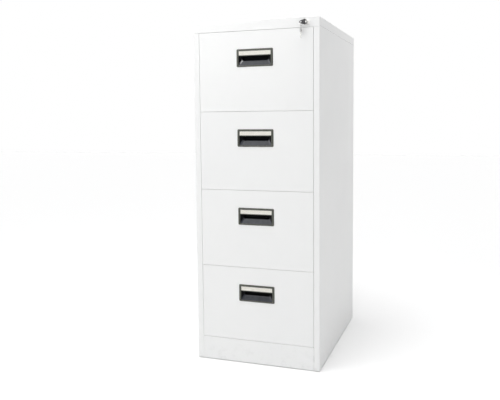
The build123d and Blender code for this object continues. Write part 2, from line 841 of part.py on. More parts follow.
# the tabs and the slotted plate are riveted onto the front of the strip
with BuildPart() as bar_tabs:
    with BuildSketch(facing_front(bar_y)):
        for number, bottom, height in drawers:
            with Locations((bar_x + bar_w, catch_bottom(bottom) - bar_clearance)):
                Rectangle(bar_x + bar_w - opening_x + tab_reach, tab_h, align=(Align.MAX, Align.MAX))
        with Locations((bar_x + bar_w, slot_high + slot_wall)):
            plate_w = bar_x + bar_w - slot_left + slot_wall
            Rectangle(plate_w, slot_high - slot_low + 2 * slot_wall, align=(Align.MAX, Align.MAX))
        with Locations(((slot_left + slot_right) / 2, (slot_low + slot_high) / 2)):
            Rectangle(slot_right - slot_left, slot_high - slot_low, mode=Mode.SUBTRACT)
    extrude(amount=tab_t)
save_shape(Compound(children=[bar_strip.part, *bar_tabs.part.solids()]), "lock_bar")

with BuildPart() as bar_guides:
    guide_out = guide_gap + guide_t
    guide_d = bar_gap + bar_t + guide_gap
    for number, bottom, height in drawers:
        with BuildSketch(Plane.XY.offset(catch_bottom(bottom) - guide_drop)):
            with Locations((bar_x + bar_w / 2, bar_y + bar_t + bar_gap)):
                Rectangle(bar_w + 2 * guide_out, guide_d + guide_t, align=(Align.CENTER, Align.MAX))
                Rectangle(bar_w + 2 * guide_gap, guide_d, align=(Align.CENTER, Align.MAX), mode=Mode.SUBTRACT)
        extrude(amount=guide_h)
save(bar_guides, "bar_guides")
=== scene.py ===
import math

import bmesh
import bpy
from mathutils import Matrix, Vector


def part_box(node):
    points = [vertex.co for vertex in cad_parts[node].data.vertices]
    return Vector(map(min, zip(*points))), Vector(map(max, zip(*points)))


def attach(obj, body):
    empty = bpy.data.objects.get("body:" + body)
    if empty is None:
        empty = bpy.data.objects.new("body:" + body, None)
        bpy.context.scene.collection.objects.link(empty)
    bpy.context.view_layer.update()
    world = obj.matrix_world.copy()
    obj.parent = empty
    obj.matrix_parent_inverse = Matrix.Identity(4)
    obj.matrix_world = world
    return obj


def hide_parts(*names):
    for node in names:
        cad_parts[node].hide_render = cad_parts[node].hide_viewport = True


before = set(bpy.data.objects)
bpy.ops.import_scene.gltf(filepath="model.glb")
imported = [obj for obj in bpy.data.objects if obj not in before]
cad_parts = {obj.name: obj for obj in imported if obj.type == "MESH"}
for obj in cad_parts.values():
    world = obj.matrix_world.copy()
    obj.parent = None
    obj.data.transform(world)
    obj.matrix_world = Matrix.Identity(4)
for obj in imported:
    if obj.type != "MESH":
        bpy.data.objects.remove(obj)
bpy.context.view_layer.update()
print("frame loaded:", len(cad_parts), "nodes")

drawerNumbers = [1, 2, 3, 4]
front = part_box("left_side_panel")[0].y  # plane of the cabinet's front


# camera at the front right, level with the second drawer
cameraSettings = {
    "position": (0.7802, -2.6215, 0.9607),
    "turn": 19.39,  # degrees to the left of straight ahead
    "pitch": -5.05,
    "roll": -0.56,
    "lens": 45.53,
    "sensor": 36,
    "shiftY": -0.05,
}


def placeCamera(settings):
    turn, pitch, roll = (math.radians(settings[key]) for key in ("turn", "pitch", "roll"))
    ahead = Vector((-math.sin(turn) * math.cos(pitch), math.cos(turn) * math.cos(pitch), math.sin(pitch)))
    level = Vector((math.cos(turn), math.sin(turn), 0))
    up = level.cross(ahead)
    right = math.cos(roll) * level + math.sin(roll) * up
    top = math.cos(roll) * up - math.sin(roll) * level
    data = bpy.data.cameras.new("studioCamera")
    data.lens = settings["lens"]
    data.sensor_width = settings["sensor"]
    data.shift_y = settings["shiftY"]
    camera = bpy.data.objects.new("studioCamera", data)
    bpy.context.scene.collection.objects.link(camera)
    turned = Matrix((right, top, -ahead)).transposed().to_4x4()
    camera.matrix_world = Matrix.Translation(settings["position"]) @ turned
    bpy.context.scene.camera = camera


placeCamera(cameraSettings)
print("camera placed")


# short ways to build node trees
def addNode(tree, kind, **values):
    node = tree.nodes.new(kind)
    for key, value in values.items():
        setattr(node, key, value)
    return node


def join(tree, source, target):
    tree.links.new(source, target)


def startGroup(name, inputs, outputs):
    group = bpy.data.node_groups.new(name, "ShaderNodeTree")
    for label, kind, value in inputs:
        socket = group.interface.new_socket(label, in_out="INPUT", socket_type="NodeSocket" + kind)
        socket.default_value = value
    for label in outputs:
        group.interface.new_socket(label, in_out="OUTPUT", socket_type="NodeSocketFloat")
    return group, group.nodes.new("NodeGroupInput"), group.nodes.new("NodeGroupOutput")


def objectPlace(tree, perMetre):
    # object coordinates times a number of repeats per metre
    place = addNode(tree, "ShaderNodeTexCoord")
    scaled = addNode(tree, "ShaderNodeVectorMath", operation="SCALE")
    join(tree, place.outputs["Object"], scaled.inputs[0])
    join(tree, perMetre, scaled.inputs["Scale"])
    return scaled.outputs[0]


def noiseOf(tree, place, detail, roughness=0.5):
    noise = addNode(tree, "ShaderNodeTexNoise")
    noise.inputs["Scale"].default_value = 1
    noise.inputs["Detail"].default_value = detail
    noise.inputs["Roughness"].default_value = roughness
    join(tree, place, noise.inputs["Vector"])
    return noise.outputs["Fac"]


def rangeOf(tree, value, fromLow, fromHigh, toLow, toHigh):
    # numbers or sockets for the two ends of the new range
    mapped = addNode(tree, "ShaderNodeMapRange")
    join(tree, value, mapped.inputs["Value"])
    ends = (("From Min", fromLow), ("From Max", fromHigh), ("To Min", toLow), ("To Max", toHigh))
    for label, end in ends:
        if isinstance(end, (int, float)):
            mapped.inputs[label].default_value = end
        else:
            join(tree, end, mapped.inputs[label])
    return mapped.outputs["Result"]


def timesOf(tree, one, two):
    product = addNode(tree, "ShaderNodeMath", operation="MULTIPLY")
    join(tree, one, product.inputs[0])
    join(tree, two, product.inputs[1])
    return product.outputs[0]


# effects that several finishes share, each one a node group
def buildGrain():
    # fine all-over texture, such as orange peel or moulded grain
    group, given, result = startGroup(
        "fineGrain", [("Grains per metre", "Float", 900), ("Depth", "Float", 1)], ["Height"]
    )
    grain = noiseOf(group, objectPlace(group, given.outputs[0]), detail=2)
    join(group, timesOf(group, grain, given.outputs[1]), result.inputs[0])
    return group


def buildPatches():
    # broad soft changes from one part of a surface to the next
    group, given, result = startGroup(
        "softPatches",
        [("Patches per metre", "Float", 3), ("Low", "Float", 0), ("High", "Float", 1)], ["Value"]
    )
    noise = noiseOf(group, objectPlace(group, given.outputs[0]), detail=4, roughness=0.55)
    join(group, rangeOf(group, noise, 0.35, 0.65, given.outputs[1], given.outputs[2]), result.inputs[0])
    return group


def buildBrush():
    # streaks along one axis, from rolling or brushing
    group, given, result = startGroup(
        "brushLines",
        [("Repeats", "Vector", (300, 6, 300)), ("Low", "Float", 0), ("High", "Float", 1)], ["Value"]
    )
    place = addNode(group, "ShaderNodeTexCoord")
    stretched = addNode(group, "ShaderNodeVectorMath", operation="MULTIPLY")
    join(group, place.outputs["Object"], stretched.inputs[0])
    join(group, given.outputs[0], stretched.inputs[1])
    streaks = noiseOf(group, stretched.outputs[0], detail=3, roughness=0.6)
    join(group, rangeOf(group, streaks, 0.3, 0.7, given.outputs[1], given.outputs[2]), result.inputs[0])
    return group


def buildScuffs():
    # short rubbed marks, thickest at the floor and gone at the given height
    group, given, result = startGroup(
        "floorScuffs",
        [("Reach", "Float", 0.12), ("Marks per metre", "Float", 30), ("Amount", "Float", 0.3)], ["Mask"]
    )
    place = addNode(group, "ShaderNodeTexCoord")
    parts = addNode(group, "ShaderNodeSeparateXYZ")
    join(group, place.outputs["Object"], parts.inputs[0])
    low = rangeOf(group, parts.outputs["Z"], 0, given.outputs[0], 1, 0)
    noise = noiseOf(group, objectPlace(group, given.outputs[1]), detail=6, roughness=0.7)
    marks = rangeOf(group, noise, 0.52, 0.72, 0, 1)
    join(group, timesOf(group, timesOf(group, low, marks), given.outputs[2]), result.inputs[0])
    return group


def buildDust():
    # a thin film on what faces up
    group, given, result = startGroup("settledDust", [("Amount", "Float", 0.2)], ["Mask"])
    facing = addNode(group, "ShaderNodeNewGeometry")
    parts = addNode(group, "ShaderNodeSeparateXYZ")
    join(group, facing.outputs["Normal"], parts.inputs[0])
    upward = rangeOf(group, parts.outputs["Z"], 0.6, 0.95, 0, 1)
    perMetre = addNode(group, "ShaderNodeValue")
    perMetre.outputs[0].default_value = 40
    noise = noiseOf(group, objectPlace(group, perMetre.outputs[0]), detail=5, roughness=0.65)
    speckle = rangeOf(group, noise, 0.35, 0.75, 0.3, 1)
    join(group, timesOf(group, timesOf(group, upward, speckle), given.outputs[0]), result.inputs[0])
    return group


grainGroup = buildGrain()
patchGroup = buildPatches()
brushGroup = buildBrush()
scuffGroup = buildScuffs()
dustGroup = buildDust()
print("shared effects built")


# finishes, each below its own settings
def startFinish(name, constants):
    material = bpy.data.materials.new(name)
    material.use_nodes = True
    shader = material.node_tree.nodes["Principled BSDF"]
    for label, value in constants.items():
        shader.inputs[label].default_value = value
    return material, material.node_tree, shader


def useGroup(tree, group, **values):
    node = addNode(tree, "ShaderNodeGroup", node_tree=group)
    for label, value in values.items():
        node.inputs[label.replace("_", " ")].default_value = value
    return node.outputs[0]


def blendOf(tree, mask, first, second):
    # first where the mask is 0, second where it is 1; each a colour or a socket
    mixed = addNode(tree, "ShaderNodeMix", data_type="RGBA")
    join(tree, mask, mixed.inputs["Factor"])
    for socket, colour in ((mixed.inputs[6], first), (mixed.inputs[7], second)):
        if isinstance(colour, tuple):
            socket.default_value = (*colour, 1)
        else:
            join(tree, colour, socket)
    return mixed.outputs[2]


def addRoughness(tree, shader, perMetre, least, most):
    # soft patches between two roughnesses
    patches = useGroup(tree, patchGroup, Patches_per_metre=perMetre, Low=least, High=most)
    join(tree, patches, shader.inputs["Roughness"])


def addGrain(tree, shader, perMetre, depth, strength=1):
    # a bump of fine grain, its depth in metres
    bump = addNode(tree, "ShaderNodeBump")
    bump.inputs["Strength"].default_value = strength
    bump.inputs["Distance"].default_value = depth
    height = useGroup(tree, grainGroup, Grains_per_metre=perMetre, Depth=1)
    join(tree, height, bump.inputs["Height"])
    join(tree, bump.outputs[0], shader.inputs["Normal"])


whiteCoatSettings = {
    "clean": (0.93, 0.935, 0.93),
    "shaded": (0.90, 0.905, 0.905),
    "scuff": (0.55, 0.55, 0.53),
    "dust": (0.72, 0.70, 0.66),
    "peelDepth": 0.00002,
}


def whiteCoatFinish(settings):
    material, tree, shader = startFinish("whitePowderCoat", {"Metallic": 0, "IOR": 1.5})
    tone = useGroup(tree, patchGroup, Patches_per_metre=2.2, Low=0, High=0.7)
    coat = blendOf(tree, tone, settings["clean"], settings["shaded"])
    scuffs = useGroup(tree, scuffGroup, Reach=0.11, Marks_per_metre=36, Amount=0.25)
    coat = blendOf(tree, scuffs, coat, settings["scuff"])
    dust = useGroup(tree, dustGroup, Amount=0.12)
    join(tree, blendOf(tree, dust, coat, settings["dust"]), shader.inputs["Base Color"])
    addRoughness(tree, shader, perMetre=9, least=0.33, most=0.42)
    addGrain(tree, shader, perMetre=750, depth=settings["peelDepth"])
    return material


pullPlasticSettings = {
    "dark": (0.052, 0.055, 0.044),
    "worn": (0.080, 0.084, 0.068),
    "grainDepth": 0.00003,
}


def pullPlasticFinish(settings):
    material, tree, shader = startFinish("olivePullPlastic", {"Metallic": 0, "IOR": 1.5})
    tone = useGroup(tree, patchGroup, Patches_per_metre=60, Low=0, High=1)
    join(tree, blendOf(tree, tone, settings["dark"], settings["worn"]), shader.inputs["Base Color"])
    addRoughness(tree, shader, perMetre=90, least=0.27, most=0.4)
    addGrain(tree, shader, perMetre=1600, depth=settings["grainDepth"])
    return material


# painted shade: the back and ends of the pocket are drawn near black and almost without reflection, standing
# in for the shade in the recess; the plastic is the same as the scoop's
pocketShadeSettings = {
    "deep": (0.005, 0.005, 0.006),
    "rubbed": (0.010, 0.010, 0.012),
    "gloss": (0.42, 0.55),  # roughness at its least and most
    "shine": 0.04,
    "grainDepth": 0.00001,
}
scoopSettings = {
    "deep": (0.018, 0.020, 0.027),
    "rubbed": (0.036, 0.040, 0.052),
    "gloss": (0.16, 0.22),  # polished by fingers
    "shine": 0.42,
    "grainDepth": 0.0000008,
}


def pocketFinish(name, settings):
    constants = {"Metallic": 0, "IOR": 1.5, "Specular IOR Level": settings["shine"]}
    material, tree, shader = startFinish(name, constants)
    tone = useGroup(tree, patchGroup, Patches_per_metre=45, Low=0, High=0.8)
    join(tree, blendOf(tree, tone, settings["deep"], settings["rubbed"]), shader.inputs["Base Color"])
    glossy, rough = settings["gloss"]
    addRoughness(tree, shader, perMetre=70, least=glossy, most=rough)
    addGrain(tree, shader, perMetre=1100, depth=settings["grainDepth"])
    return material


zincSettings = {"bright": (0.66, 0.67, 0.69), "dull": (0.52, 0.535, 0.56), "repeats": (420, 7, 420)}


def zincFinish(name, settings):
    material, tree, shader = startFinish(name, {"Metallic": 1})
    streaks = useGroup(tree, brushGroup, Repeats=settings["repeats"], Low=0, High=0.8)
    join(tree, blendOf(tree, streaks, settings["bright"], settings["dull"]), shader.inputs["Base Color"])
    roughness = useGroup(tree, brushGroup, Repeats=settings["repeats"], Low=0.26, High=0.46)
    join(tree, roughness, shader.inputs["Roughness"])
    addGrain(tree, shader, perMetre=500, depth=0.00002, strength=0.6)
    return material


nickelSettings = {
    "bright": (0.80, 0.79, 0.765),
    "dull": (0.69, 0.68, 0.66),
    "repeats": (900, 900, 60),
    "gloss": (0.14, 0.27),
}
satinSettings = {
    "bright": (0.90, 0.895, 0.88),
    "dull": (0.84, 0.835, 0.82),
    "repeats": (700, 700, 700),
    "gloss": (0.42, 0.56),
}


def nickelFinish(name, settings):
    material, tree, shader = startFinish(name, {"Metallic": 1})
    streaks = useGroup(tree, brushGroup, Repeats=settings["repeats"], Low=0, High=0.6)
    join(tree, blendOf(tree, streaks, settings["bright"], settings["dull"]), shader.inputs["Base Color"])
    glossy, rough = settings["gloss"]
    addRoughness(tree, shader, perMetre=160, least=glossy, most=rough)
    addGrain(tree, shader, perMetre=2500, depth=0.00001, strength=0.5)
    return material


keyPlasticSettings = {"dark": (0.030, 0.029, 0.031), "rubbed": (0.064, 0.062, 0.065)}
sparePlasticSettings = {"dark": (0.54, 0.54, 0.53), "rubbed": (0.62, 0.62, 0.61)}  # the spare key's bow, drawn pale grey, far lighter than the other key's


def keyPlasticFinish(name, settings):
    material, tree, shader = startFinish(name, {"Metallic": 0, "IOR": 1.5})
    tone = useGroup(tree, patchGroup, Patches_per_metre=140, Low=0, High=0.8)
    join(tree, blendOf(tree, tone, settings["dark"], settings["rubbed"]), shader.inputs["Base Color"])
    addRoughness(tree, shader, perMetre=200, least=0.3, most=0.46)
    addGrain(tree, shader, perMetre=3000, depth=0.00002, strength=0.6)
    return material


cardSettings = {"pale": (0.93, 0.905, 0.84), "fibre": (0.90, 0.875, 0.805)}


def cardFinish(settings):
    material, tree, shader = startFinish("creamCard", {"Metallic": 0})
    fibres = useGroup(tree, patchGroup, Patches_per_metre=700, Low=0, High=0.6)
    join(tree, blendOf(tree, fibres, settings["pale"], settings["fibre"]), shader.inputs["Base Color"])
    addRoughness(tree, shader, perMetre=300, least=0.75, most=0.9)
    addGrain(tree, shader, perMetre=2600, depth=0.00003, strength=0.5)
    return material


windowSettings = {
    "clear": 0.10,
    "hazy": 0.13,
    "tint": (0.95, 0.96, 0.95),
    "hazeTint": (0.9, 0.91, 0.9),
}


def windowFinish(settings):
    material, tree, shader = startFinish("clearLabelStrip", {"Metallic": 0, "IOR": 1.49})
    haze = useGroup(tree, patchGroup, Patches_per_metre=80, Low=0, High=1)
    join(tree, blendOf(tree, haze, settings["tint"], settings["hazeTint"]), shader.inputs["Base Color"])
    alpha = useGroup(tree, patchGroup, Patches_per_metre=80, Low=settings["clear"], High=settings["hazy"])
    join(tree, alpha, shader.inputs["Alpha"])
    addRoughness(tree, shader, perMetre=120, least=0.08, most=0.16)
    return material


# painted shade for the cap's joints, built like the black rubber
jointShadeSettings = {"dark": (0.045, 0.045, 0.045), "dustAndShadeTone": (0.09, 0.09, 0.088)}
rubberSettings = {"dark": (0.028, 0.028, 0.028), "dustAndShadeTone": (0.07, 0.068, 0.064)}


def rubberAndJointShadeFinish(name, settings):
    material, tree, shader = startFinish(name, {"Metallic": 0})
    dustAndShadeTone = useGroup(tree, patchGroup, Patches_per_metre=70, Low=0, High=1)
    join(tree, blendOf(tree, dustAndShadeTone, settings["dark"], settings["dustAndShadeTone"]), shader.inputs["Base Color"])
    addRoughness(tree, shader, perMetre=110, least=0.7, most=0.88)
    addGrain(tree, shader, perMetre=1800, depth=0.00004, strength=0.7)
    return material


zincUprightSettings = {**zincSettings, "repeats": (420, 420, 7)}  # rolled along the uprights
zincRailSettings = {**zincSettings, "repeats": (7, 420, 420)}
finishes = {
    "white_paint": whiteCoatFinish(whiteCoatSettings),
    "pull_plastic": pullPlasticFinish(pullPlasticSettings),
    "pocket": pocketFinish("pocketPaintedShade", pocketShadeSettings),
    "scoop": pocketFinish("fingerPolishedPlastic", scoopSettings),
    "zinc": zincFinish("zincPlate", zincSettings),
    "nickel": nickelFinish("nickelPlate", nickelSettings),
    "satin": nickelFinish("satinNickel", satinSettings),
    "key_plastic": keyPlasticFinish("blackKeyPlastic", keyPlasticSettings),
    "spare_plastic": keyPlasticFinish("paleSpareKeyBow", sparePlasticSettings),
    "card": cardFinish(cardSettings),
    "clear_plastic": windowFinish(windowSettings),
    "rubber": rubberAndJointShadeFinish("blackRubber", rubberSettings),
    "joint_shade": rubberAndJointShadeFinish("greyJointPaintedShade", jointShadeSettings),
}
zincUprights = zincFinish("zincPlateUpright", zincUprightSettings)
zincRails = zincFinish("zincPlateAcross", zincRailSettings)


def finishOf(name):
    if name in ("left_uprights", "right_uprights", "lock_bar"):
        return zincUprights
    if name == "cross_rails":
        return zincRails
    starts = (
        ("pull_", "pull_plastic"), ("label_card", "card"), ("label_window", "clear_plastic"),
        ("key_head", "key_plastic"), ("spare_key_head", "spare_plastic"), ("slide_bumpers", "rubber"),
        ("levelling_feet", "rubber"), ("lock_cam", "zinc"), ("lock_", "satin"),
        ("key_", "nickel"), ("spare_key_blade", "nickel"), ("left_outer", "zinc"), ("right_outer", "zinc"),
        ("middle_slides", "zinc"), ("inner_slides", "zinc"), ("hanger_rails", "zinc"),
        ("cap_screws", "zinc"), ("foot_nuts", "zinc"), ("bar_guides", "zinc"),
    )
    for start, finish in starts:
        if name.startswith(start):
            return finishes[finish]
    return finishes["white_paint"]


for name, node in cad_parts.items():
    node.data.materials.clear()
    node.data.materials.append(finishOf(name))
print("finishes on every node")


# ways to add a piece
def addPiece(name, mesh, body, slot, *finishList):
    piece = bpy.data.objects.new(name, mesh)
    bpy.context.scene.collection.objects.link(piece)
    for finish in finishList:
        mesh.materials.append(finish)
    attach(piece, body)
    return piece


def bakeModifiers(piece):
    # the evaluated mesh takes the place of the piece's own
    shaped = piece.evaluated_get(bpy.context.evaluated_depsgraph_get())
    mesh = bpy.data.meshes.new_from_object(shaped)
    piece.modifiers.clear()
    piece.data = mesh
    return mesh


def softened(node, name, body, width, segments=3, angle=30):
    # the node's own shape with its sharp edges rounded over
    source = bmesh.new()
    source.from_mesh(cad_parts[node].data)
    bmesh.ops.remove_doubles(source, verts=source.verts, dist=1e-6)
    bmesh.ops.dissolve_limit(
        source, angle_limit=math.radians(0.5), verts=source.verts, edges=source.edges
    )
    mesh = bpy.data.meshes.new(name)
    source.to_mesh(mesh)
    source.free()
    piece = bpy.data.objects.new(name, mesh)
    bpy.context.scene.collection.objects.link(piece)
    bevel = piece.modifiers.new("softEdge", "BEVEL")
    bevel.width = width
    bevel.segments = segments
    bevel.limit_method = "ANGLE"
    bevel.angle_limit = math.radians(angle)
    bevel.use_clamp_overlap = True
    mesh = bakeModifiers(piece)
    mesh.shade_smooth()
    mesh.materials.append(finishOf(node))
    smooth = piece.modifiers.new("facing", "WEIGHTED_NORMAL")
    smooth.keep_sharp = True
    bakeModifiers(piece)
    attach(piece, body)
    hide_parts(node)


# pulls, lofted through rounded rectangles
def ringPoints(halfWidth, low, high, depth, lowRadius, highRadius, chamfered=False, steps=7):
    # rounded rectangle facing the front, with its lower corners cut straight where chamfered
    points = []
    corners = (
        (halfWidth - highRadius, high - highRadius, highRadius, 0),
        (highRadius - halfWidth, high - highRadius, highRadius, 90),
        (lowRadius - halfWidth, low + lowRadius, lowRadius, 180),
        (halfWidth - lowRadius, low + lowRadius, lowRadius, 270),
    )
    for x, z, radius, start in corners:
        turns = [math.radians(start + 90 * step / (steps - 1)) for step in range(steps)]
        corner = [(x + radius * math.cos(angle), depth, z + radius * math.sin(angle)) for angle in turns]
        if chamfered and start >= 180:
            first, last = Vector(corner[0]), Vector(corner[-1])
            corner = [tuple(first.lerp(last, step / (steps - 1))) for step in range(steps)]
        points += corner
    return points


def addRings(shape, rings, firstCap=False, lastCap=False, closed=True):
    loops = [[shape.verts.new(point) for point in ring] for ring in rings]
    bands = []
    for near, far in zip(loops, loops[1:]):
        count = len(near)
        band = []
        for place in range(count if closed else count - 1):
            beside = (place + 1) % count
            band.append(shape.faces.new((near[place], near[beside], far[beside], far[place])))
        bands.append(band)
    if firstCap:
        shape.faces.new(loops[0])
    if lastCap:
        shape.faces.new(loops[-1])
    return bands


def addBar(shape, section, startY, endY):
    # a section of (x, z) points run from front to back, closed at both ends
    rings = [[(x, y, z) for x, z in section] for y in (startY, endY)]
    addRings(shape, rings, firstCap=True, lastCap=True)


def finishMesh(shape, name, sharpAngle=32):
    bmesh.ops.recalc_face_normals(shape, faces=shape.faces)
    mesh = bpy.data.meshes.new(name)
    shape.to_mesh(mesh)
    shape.free()
    mesh.shade_smooth()
    mesh.set_sharp_from_angle(angle=math.radians(sharpAngle))
    return mesh


pullSettings = {
    "rimWide": 0.0043,  # width and height of the rim's rounded outer slope
    "rimRise": 0.0022,
    "rimInnerRound": 0.0009,
    "rimSteps": 7,
    "rimInnerSteps": 4,
    "cornerRadius": 0.0043,
    "mouthHalf": 0.064,
    "mouthLow": 0.0055,
    "mouthHigh": 0.041,
    "windowHigh": 0.0595,
    "hoodHigh": 0.0538,
    "mouthRadii": (0.0022, 0.0014),  # its lower and upper corners
    "recessDepth": 0.0017,
    "wall": 0.0016,
    "shellRadius": 0.003,
    "shellDrop": 0.0028,  # the hidden shell reaches this far below the mouth
    "shelfRise": 0.0155,
    "shelfDepth": 0.0141,
    "shellFront": 0.0006,
    "justBehind": 0.0001,  # the drawer's face
    "leastRadius": 0.0008,
    "endSlope": 1.35,  # the scoop's ends lean in by this much for its depth
    "backSlope": 0.1,  # and behind the scoop by this much
    "scoopDepth": 0.009,
    "cardLip": 0.0003,
    "pocketTopRadius": 0.0006,
    "chamferStart": 0.0024,
    "chamfer": 0.0046,  # between the scoop and its ends
    "endMargin": 0.02,  # share of the chamfer
    "scoopEnd": (0.0094, 0.0192),  # depth and rise up to which it is rubbed by fingers; deeper faces take the painted-shade finish
    "scoop": (  # depth and rise down the middle of the pocket
        (0.0, 0.0), (0.0004, 0.0006), (0.0016, 0.0032), (0.0031, 0.0066), (0.0053, 0.0115),
        (0.0078, 0.0169), (0.0086, 0.0181), (0.0095, 0.0189), (0.012, 0.0194), (0.017, 0.0200),
        (0.0195, 0.0222), (0.0208, 0.0270), (0.0213, 0.0350),
    ),
    "cardBack": (  # depth, rise and upper edge where the pocket opens up behind the card
        (0.0022, 0.0046, 0.0410), (0.0030, 0.0063, 0.0418), (0.00305, 0.0064, 0.0538),
    ),
    "backWall": (0.0216, 0.044, 0.001, 0.002),  # depth, rise, drop and corner radius
    "barHigh": 0.0025,  # bar between the card and the pocket
    "barSetback": 0.0002,
    "barBack": 0.0008,
    "barRound": 0.0007,
    "barBedded": 0.0006,
}


def quarterTurn(steps):
    return [math.radians(90 * step / steps) for step in range(steps + 1)]


def pocketHalf(settings, depth):
    leaning = min(depth, settings["scoopDepth"])
    behind = max(0, depth - leaning)
    return settings["mouthHalf"] - settings["endSlope"] * leaning - settings["backSlope"] * behind


def pullRings(settings, low, high):
    # depths from the drawer's face, heights from the pull's lower edge
    base, half, top = low.z, high.x, high.z - low.z
    proud = front - low.y
    shellBack = high.y - front
    rings = []

    def ring(width, bottom, upper, depth, lowRadius, highRadius, chamfered=False):
        rings.append(ringPoints(
            width, base + bottom, base + upper, front + depth, lowRadius, highRadius, chamfered
        ))

    mouth, mouthLow, wall = settings["mouthHalf"], settings["mouthLow"], settings["wall"]
    hoodHigh, windowHigh = settings["hoodHigh"], settings["windowHigh"]
    shellLow, shelf = mouthLow - settings["shellDrop"], mouthLow + settings["shelfRise"]
    shellRadius, justBehind = settings["shellRadius"], settings["justBehind"]
    stations = (
        (shellBack, shelf), (settings["shelfDepth"], shelf), (settings["shellFront"], shellLow),
        (justBehind, shellLow),
    )
    for depth, bottom in stations:
        ring(mouth + wall, bottom, hoodHigh + wall, depth, shellRadius, shellRadius)
    corner, wide, rise = settings["cornerRadius"], settings["rimWide"], settings["rimRise"]
    ring(half, 0, top, justBehind, corner, corner)
    for angle in quarterTurn(settings["rimSteps"]):
        inset = wide * (1 - math.cos(angle))
        radius = max(corner - inset, settings["leastRadius"])
        ring(half - inset, inset, top - inset, rise * (1 - math.sin(angle)) - proud, radius, radius)
    innerRound = settings["rimInnerRound"]
    lowRadius, highRadius = settings["mouthRadii"]
    for angle in quarterTurn(settings["rimInnerSteps"]):
        out = innerRound * (1 - math.sin(angle))
        depth = innerRound * (1 - math.cos(angle)) - proud
        ring(mouth + out, mouthLow - out, windowHigh + out, depth, lowRadius + out, highRadius + out)
    back = settings["recessDepth"] - proud
    ring(mouth, mouthLow, windowHigh, back, lowRadius, highRadius)
    rimRings = len(rings)
    mouthHigh, pocketTop = settings["mouthHigh"], settings["pocketTopRadius"]
    ring(mouth, mouthLow, mouthHigh, back + settings["cardLip"], settings["chamferStart"], pocketTop)
    opening = settings["cardBack"][-1][0]
    sections = list(settings["cardBack"])
    for depth, lift in settings["scoop"]:
        sections.append((depth, lift, mouthHigh if depth < opening else hoodHigh))
    for depth, lift, upper in sorted(sections):
        cut = min(settings["chamferStart"] + depth, settings["chamfer"])
        ring(pocketHalf(settings, depth), mouthLow + lift, upper, depth, cut, pocketTop, chamfered=True)
    depth, rise, drop, radius = settings["backWall"]
    backHalf = pocketHalf(settings, depth - justBehind)
    ring(backHalf, mouthLow + rise, hoodHigh - drop, depth, radius, radius)
    return rings, rimRings


def barSection(low, high, faceDepth, backDepth, radius, steps=5):
    # upright section of a bar with its two front edges rounded, as (depth, z)
    points = []
    for z, start in ((high - radius, 0), (low + radius, 90)):
        for step in range(steps):
            angle = math.radians(start + 90 * step / (steps - 1))
            points.append((faceDepth + radius - radius * math.sin(angle), z + radius * math.cos(angle)))
    points += [(backDepth, low), (backDepth, high)]
    return points


def pullMesh(settings, number):
    low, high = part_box(f"pull_{number}")
    shape = bmesh.new()
    rings, rimRings = pullRings(settings, low, high)
    bands = addRings(shape, rings, firstCap=True, lastCap=True)
    endDepth, endRise = settings["scoopEnd"]
    for band in bands[rimRings - 1:]:
        for face in band:
            middle = face.calc_center_median()
            depth = middle.y - front
            scooped = depth < endDepth and middle.z < low.z + settings["mouthLow"] + endRise
            margin = settings["endMargin"] * settings["chamfer"]
            ended = abs(middle.x) > pocketHalf(settings, max(depth, 0)) - margin
            # faces at the back and the ends of the pocket take the painted-shade finish (index 1), and the
            # front of the scoop keeps the glossy plastic (index 2)
            face.material_index = 2 if scooped and not ended else 1
    shape.faces.ensure_lookup_table()
    shape.faces[-1].material_index = 1
    barLow = low.z + settings["mouthHigh"]
    section = barSection(
        barLow, barLow + settings["barHigh"], low.y + settings["barSetback"], front + settings["barBack"],
        settings["barRound"],
    )
    reach = settings["mouthHalf"] + settings["barBedded"]
    ends = [[(x, y, z) for y, z in section] for x in (-reach, reach)]
    addRings(shape, ends, firstCap=True, lastCap=True)
    mesh = finishMesh(shape, f"pullMoulding_{number}")
    for face in mesh.polygons:
        face.use_smooth = face.material_index != 2
    return mesh


for number in drawerNumbers:
    pull = addPiece(
        f"pullMoulding_{number}", pullMesh(pullSettings, number), f"drawer_{number}", "pull_plastic",
        finishes["pull_plastic"], finishes["pocket"], finishes["scoop"],
    )
    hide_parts(f"pull_{number}")
print("pulls moulded")


def buildStuds():
    # a small dome at every vertex of the mesh that it is given, squashed by the flatness
    tree = bpy.data.node_groups.new("studsOnPoints", "GeometryNodeTree")
    wanted = (("Places", "Geometry"), ("Radius", "Float"), ("Flatness", "Vector"), ("Finish", "Material"))
    for label, kind in wanted:
        tree.interface.new_socket(label, in_out="INPUT", socket_type="NodeSocket" + kind)
    tree.interface.new_socket("Studs", in_out="OUTPUT", socket_type="NodeSocketGeometry")
    given = tree.nodes.new("NodeGroupInput")
    result = tree.nodes.new("NodeGroupOutput")
    dome = tree.nodes.new("GeometryNodeMeshUVSphere")
    dome.inputs["Segments"].default_value = 12
    dome.inputs["Rings"].default_value = 8
    squash = tree.nodes.new("GeometryNodeTransform")
    spread = tree.nodes.new("GeometryNodeInstanceOnPoints")
    solid = tree.nodes.new("GeometryNodeRealizeInstances")
    smooth = tree.nodes.new("GeometryNodeSetShadeSmooth")
    coat = tree.nodes.new("GeometryNodeSetMaterial")
    join(tree, given.outputs["Radius"], dome.inputs["Radius"])
    join(tree, dome.outputs["Mesh"], squash.inputs["Geometry"])
    join(tree, given.outputs["Flatness"], squash.inputs["Scale"])
    join(tree, given.outputs["Places"], spread.inputs["Points"])
    join(tree, squash.outputs["Geometry"], spread.inputs["Instance"])
    join(tree, spread.outputs["Instances"], smooth.inputs["Geometry"])
    join(tree, smooth.outputs["Geometry"], solid.inputs["Geometry"])
    join(tree, solid.outputs["Geometry"], coat.inputs["Geometry"])
    join(tree, given.outputs["Finish"], coat.inputs["Material"])
    join(tree, coat.outputs["Geometry"], result.inputs["Studs"])
    return tree


studTree = buildStuds()


